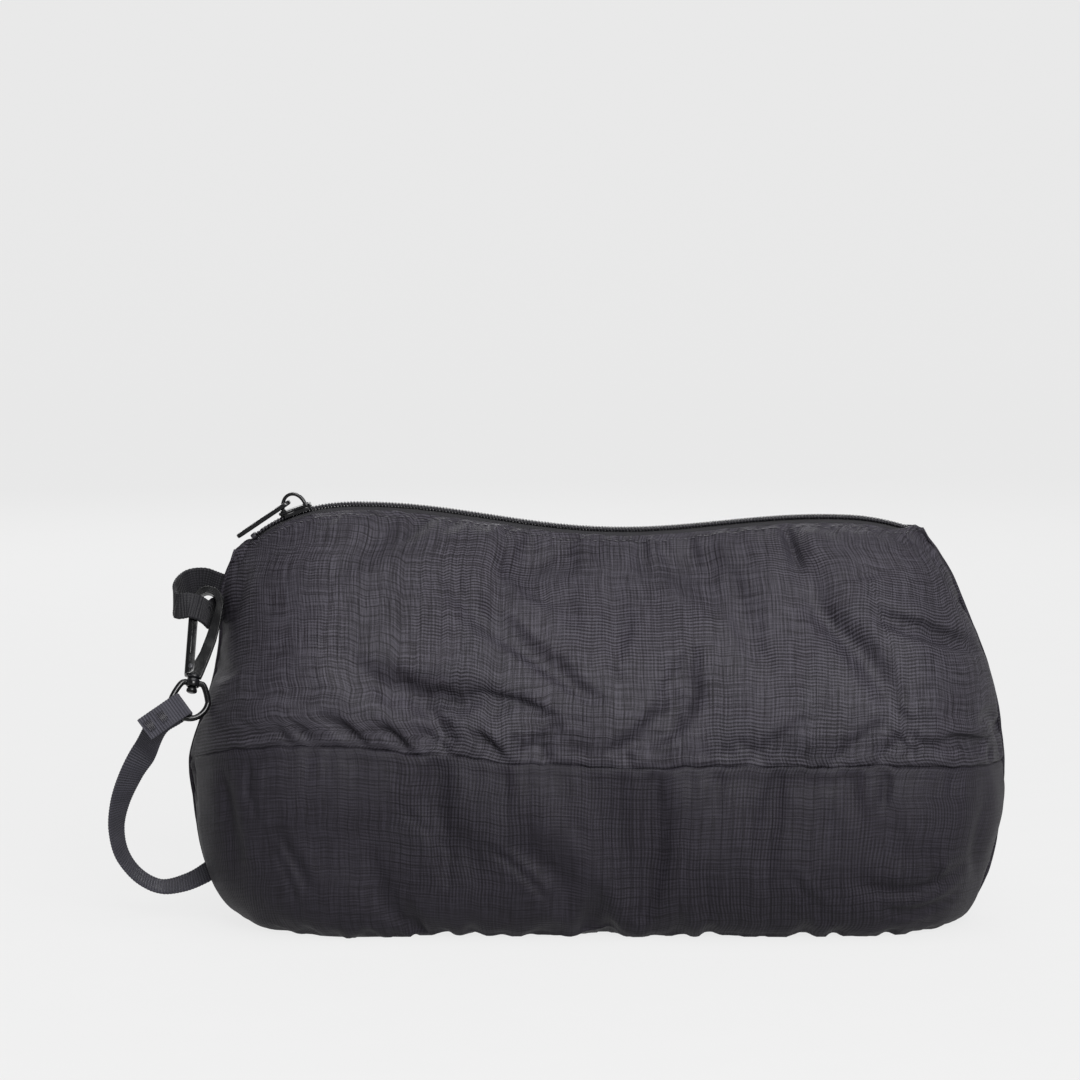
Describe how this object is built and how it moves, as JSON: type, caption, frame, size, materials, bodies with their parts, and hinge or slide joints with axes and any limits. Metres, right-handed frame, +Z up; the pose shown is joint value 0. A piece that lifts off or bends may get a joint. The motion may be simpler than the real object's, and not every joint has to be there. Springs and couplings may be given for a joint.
{
  "type": "foldable tote bag",
  "caption": "Foldable ripstop tote bag packed in its own zipped pouch, with a webbing wrist strap and a swivel snap hook.",
  "frame": {"origin": "centre of the flat underside of the pouch", "axes": "+X along the zip towards its closed end, +Z up, -Y towards the side the clip hangs in front of"},
  "size_m": [0.2996, 0.1004, 0.1432],
  "materials": {
    "upper_fabric": "charcoal ripstop nylon with a slight sheen",
    "base_fabric": "near-black ripstop nylon with a slight sheen",
    "webbing": "ribbed black webbing",
    "zip_tape": "black woven tape",
    "zip_coil": "black nylon coil",
    "black_metal": "gloss black"
  },
  "bodies": {
    "pouch": {"front_upper_panel": "upper_fabric", "back_upper_panel": "upper_fabric", "tote_body": "upper_fabric", "base_panel": "base_fabric", "front_seam_tape": "base_fabric", "back_seam_tape": "base_fabric", "left_end_binding": "base_fabric", "right_end_binding": "base_fabric", "tote_anchor_tab": "base_fabric", "webbing_loop": "webbing", "wrist_strap": "webbing", "tote_handle_front": "webbing", "tote_handle_back": "webbing", "zip_tape_front": "zip_tape", "zip_tape_back": "zip_tape", "zip_coil_front": "zip_coil", "zip_coil_back": "zip_coil", "zip_top_stop": "zip_coil", "zip_bottom_stop": "black_metal"},
    "slider": {"slider_body": "black_metal"},
    "pull": {"pull_tab": "black_metal"},
    "ring": {"swivel_ring": "black_metal"},
    "hook": {"hook_body": "black_metal", "gate_pin": "black_metal", "gate_spring": "black_metal"},
    "gate": {"gate_lever": "black_metal"}
  },
  "joints": [
    {"name": "zip_travel", "type": "hinge", "parent": "pouch", "child": "slider", "pos_m": [-0.00908, 0, -0.26563], "axis": [0, 1, 0], "range_deg": [0, 26.7], "deforming": ["zip_coil_front", "zip_coil_back", "zip_tape_front", "zip_tape_back"]},
    {"name": "pull_swing", "type": "hinge", "parent": "slider", "child": "pull", "pos_m": [-0.10285, 0, 0.13964], "axis": [0, 1, 0], "range_deg": [0, 130]},
    {"name": "clip_swing", "type": "hinge", "parent": "pouch", "child": "ring", "pos_m": [-0.1297, -0.01, 0.1035], "axis": [0, 1, 0], "range_deg": [0, 12], "deforming": ["wrist_strap", "webbing_loop"]},
    {"name": "swivel_turn", "type": "hinge", "parent": "ring", "child": "hook", "pos_m": [-0.1332, -0.0195, 0.0816], "axis": [0.1261, 0.4226, 0.8975], "range_deg": [-20, 20]},
    {"name": "gate_press", "type": "hinge", "parent": "hook", "child": "gate", "pos_m": [-0.13397, -0.01743, 0.08619], "axis": [-0.0588, 0.9063, -0.4185], "range_deg": [0, 20], "stiffness_Nm_per_rad": 0.02, "springref_deg": -11.46, "deforming": ["gate_spring"]}
  ]
}
